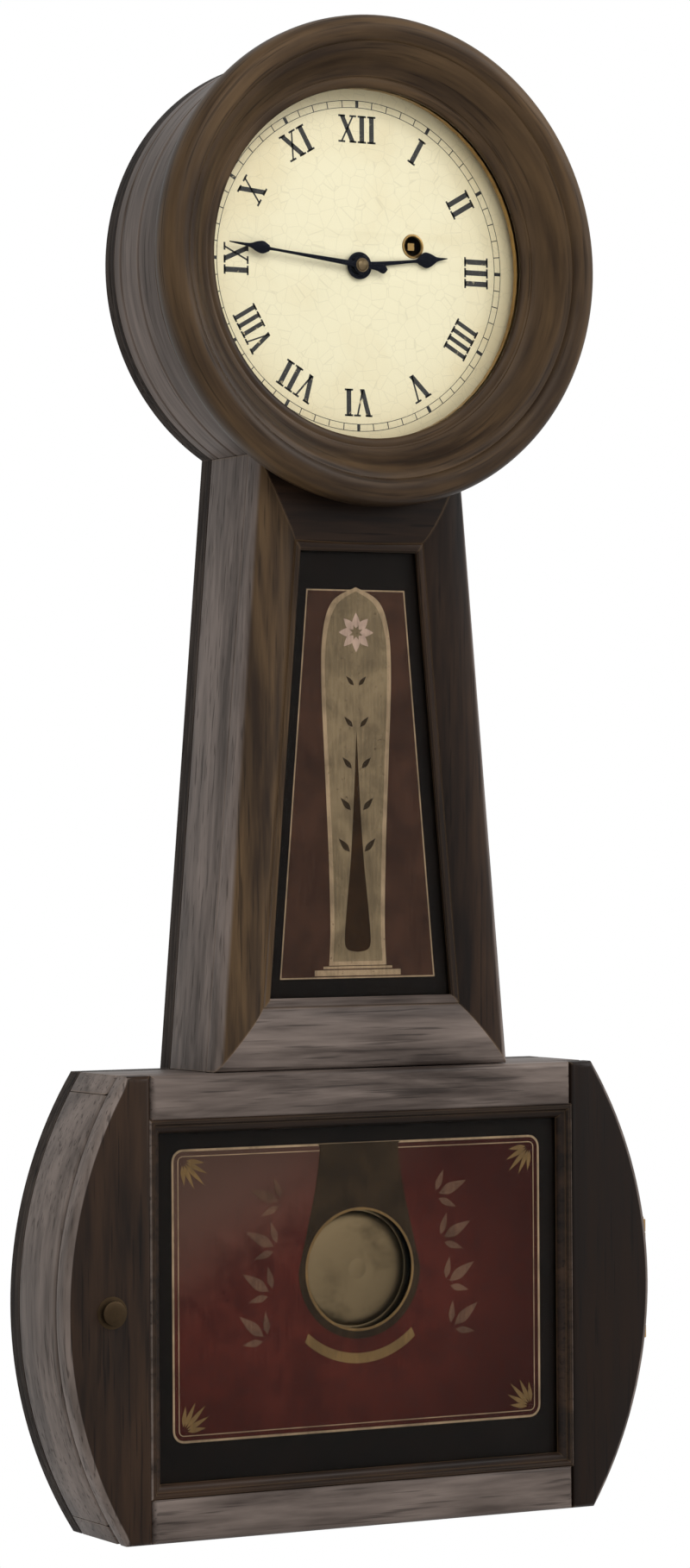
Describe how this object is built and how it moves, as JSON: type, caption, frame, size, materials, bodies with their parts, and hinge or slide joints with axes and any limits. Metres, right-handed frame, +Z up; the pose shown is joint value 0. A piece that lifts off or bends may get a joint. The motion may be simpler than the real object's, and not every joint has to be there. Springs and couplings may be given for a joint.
{
  "type": "banjo clock",
  "caption": "Weight-driven wall timepiece with a round hinged bezel, tapered throat with painted glass, curved-sided lower box with a hinged door, and its movement and pendulum.",
  "frame": {"origin": "on the flat wall face of the backboard, on the axis of the dial", "axes": "+X to the viewer's right, +Y into the wall, +Z up the clock"},
  "size_m": [0.3308, 0.0901, 0.736],
  "materials": {
    "case_wood": "dark brown stained hardwood under worn shellac",
    "inner_wood": "plain unpolished wood",
    "brass": "aged brass",
    "steel": "plain steel",
    "blued_steel": "dark blued steel",
    "iron": "rough cast",
    "gut": "twisted gut",
    "dial_paint": "cream painted dial, lightly crazed",
    "clear_glass": "clear window glass",
    "throat_tablet": "glass painted on its back in black, maroon and tan",
    "door_tablet": "glass painted on its back in black and maroon with gilt lines"
  },
  "bodies": {
    "case": {"backboard": "case_wood", "hanger_plate": "steel", "head_drum": "case_wood", "dial": "dial_paint", "throat_side_right": "case_wood", "throat_side_left": "case_wood", "throat_frame": "case_wood", "throat_glass": "throat_tablet", "throat_glass_bead": "case_wood", "box_top_right": "case_wood", "box_top_left": "case_wood", "box_bottom_board": "case_wood", "box_side_right": "case_wood", "box_side_left": "case_wood", "weight_baffle": "inner_wood", "movement_back_plate": "brass", "movement_front_plate": "brass", "pillar_lower_left": "brass", "pillar_lower_right": "brass", "pillar_upper_left": "brass", "pillar_upper_right": "brass", "movement_screw_lower": "steel", "movement_screw_upper": "steel", "suspension_bridge": "brass", "bezel_hinge_lower_case_leaf": "brass", "bezel_hinge_upper_case_leaf": "brass", "box_hinge_lower_case_leaf": "brass", "box_hinge_upper_case_leaf": "brass", "weight_line": "gut"},
    "bezel": {"bezel_ring": "case_wood", "bezel_glass": "clear_glass", "bezel_retaining_ring": "brass", "bezel_catch_stud": "brass", "bezel_hinge_lower_door_leaf": "brass", "bezel_hinge_upper_door_leaf": "brass"},
    "box_door": {"box_door_frame": "case_wood", "box_door_glass": "door_tablet", "box_door_glass_bead": "case_wood", "box_hinge_lower_door_leaf": "brass", "box_hinge_upper_door_leaf": "brass"},
    "door_latch": {"box_door_latch": "brass"},
    "pendulum": {"suspension_spring": "steel", "pendulum_rod": "inner_wood", "pendulum_bob": "brass", "rating_nut": "brass"},
    "anchor": {"anchor": "steel"},
    "center_arbor": {"center_wheel": "brass", "cannon_pinion": "steel", "minute_hand": "blued_steel"},
    "third_arbor": {"third_wheel": "brass"},
    "escape_arbor": {"escape_wheel": "brass"},
    "great_wheel": {"great_wheel": "brass"},
    "minute_wheel": {"minute_wheel": "brass"},
    "hour_wheel": {"hour_wheel": "brass", "hour_hand": "blued_steel"},
    "barrel": {"winding_barrel": "brass", "line_on_barrel": "gut"},
    "weight": {"weight": "iron", "pulley_stirrup": "brass"},
    "pulley": {"pulley": "brass"}
  },
  "joints": [
    {"name": "bezel_hinge", "type": "hinge", "parent": "case", "child": "bezel", "pos_m": [0.1116, -0.0628, 0], "axis": [0, 0, 1], "range_deg": [0, 110]},
    {"name": "box_door_hinge", "type": "hinge", "parent": "case", "child": "box_door", "pos_m": [0.1656, -0.0503, -0.50475], "axis": [0, 0, 1], "range_deg": [0, 100]},
    {"name": "door_latch_turn", "type": "hinge", "parent": "box_door", "child": "door_latch", "pos_m": [-0.1385, -0.052, -0.50475], "axis": [0, 1, 0], "range_deg": [0, 90]},
    {"name": "pendulum_swing", "type": "hinge", "parent": "case", "child": "pendulum", "pos_m": [0, -0.04675, 0.045], "axis": [0, 1, 0], "range_deg": [-3, 3]},
    {"name": "anchor_rock", "type": "hinge", "parent": "case", "child": "anchor", "pos_m": [0, -0.03775, 0.045], "axis": [0, 1, 0], "range_deg": [-3, 3]},
    {"name": "hand_turn", "type": "hinge", "parent": "case", "child": "center_arbor", "pos_m": [0, -0.03275, 0], "axis": [0, 1, 0], "continuous": true},
    {"name": "third_turn", "type": "hinge", "parent": "case", "child": "third_arbor", "pos_m": [-0.01907, -0.026, 0.01418], "axis": [0, 1, 0], "continuous": true},
    {"name": "escape_turn", "type": "hinge", "parent": "case", "child": "escape_arbor", "pos_m": [0, -0.03775, 0.024], "axis": [0, 1, 0], "continuous": true},
    {"name": "great_wheel_turn", "type": "hinge", "parent": "case", "child": "great_wheel", "pos_m": [0.0311, -0.016, 0.01132], "axis": [0, 1, 0], "continuous": true},
    {"name": "minute_wheel_turn", "type": "hinge", "parent": "case", "child": "minute_wheel", "pos_m": [-0.01804, -0.0506, -0.00657], "axis": [0, 1, 0], "continuous": true},
    {"name": "hour_turn", "type": "hinge", "parent": "case", "child": "hour_wheel", "pos_m": [0, -0.0538, 0], "axis": [0, 1, 0], "continuous": true},
    {"name": "weight_lift", "type": "slide", "parent": "case", "child": "weight", "axis": [0, 0, 1], "range_m": [0, 0.38], "deforming": ["weight_line"]},
    {"name": "barrel_turn", "type": "hinge", "parent": "case", "child": "barrel", "pos_m": [0.0311, -0.03, 0.01132], "axis": [0, 1, 0], "range_deg": [0, 4600]},
    {"name": "pulley_turn", "type": "hinge", "parent": "weight", "child": "pulley", "pos_m": [0.0076, -0.024, -0.46], "axis": [0, 1, 0], "range_deg": [-1560, 0]}
  ],
  "couplings": [
    {"joint": "anchor_rock", "follows": "pendulum_swing", "ratio": 1},
    {"joint": "third_turn", "follows": "hand_turn", "ratio": -10},
    {"joint": "escape_turn", "follows": "hand_turn", "ratio": 81.667},
    {"joint": "great_wheel_turn", "follows": "hand_turn", "ratio": -0.066667},
    {"joint": "minute_wheel_turn", "follows": "hand_turn", "ratio": -0.33333},
    {"joint": "hour_turn", "follows": "hand_turn", "ratio": 0.083333},
    {"joint": "barrel_turn", "follows": "weight_lift", "rad_per_m": 210.53},
    {"joint": "pulley_turn", "follows": "weight_lift", "rad_per_m": -71.429}
  ]
}
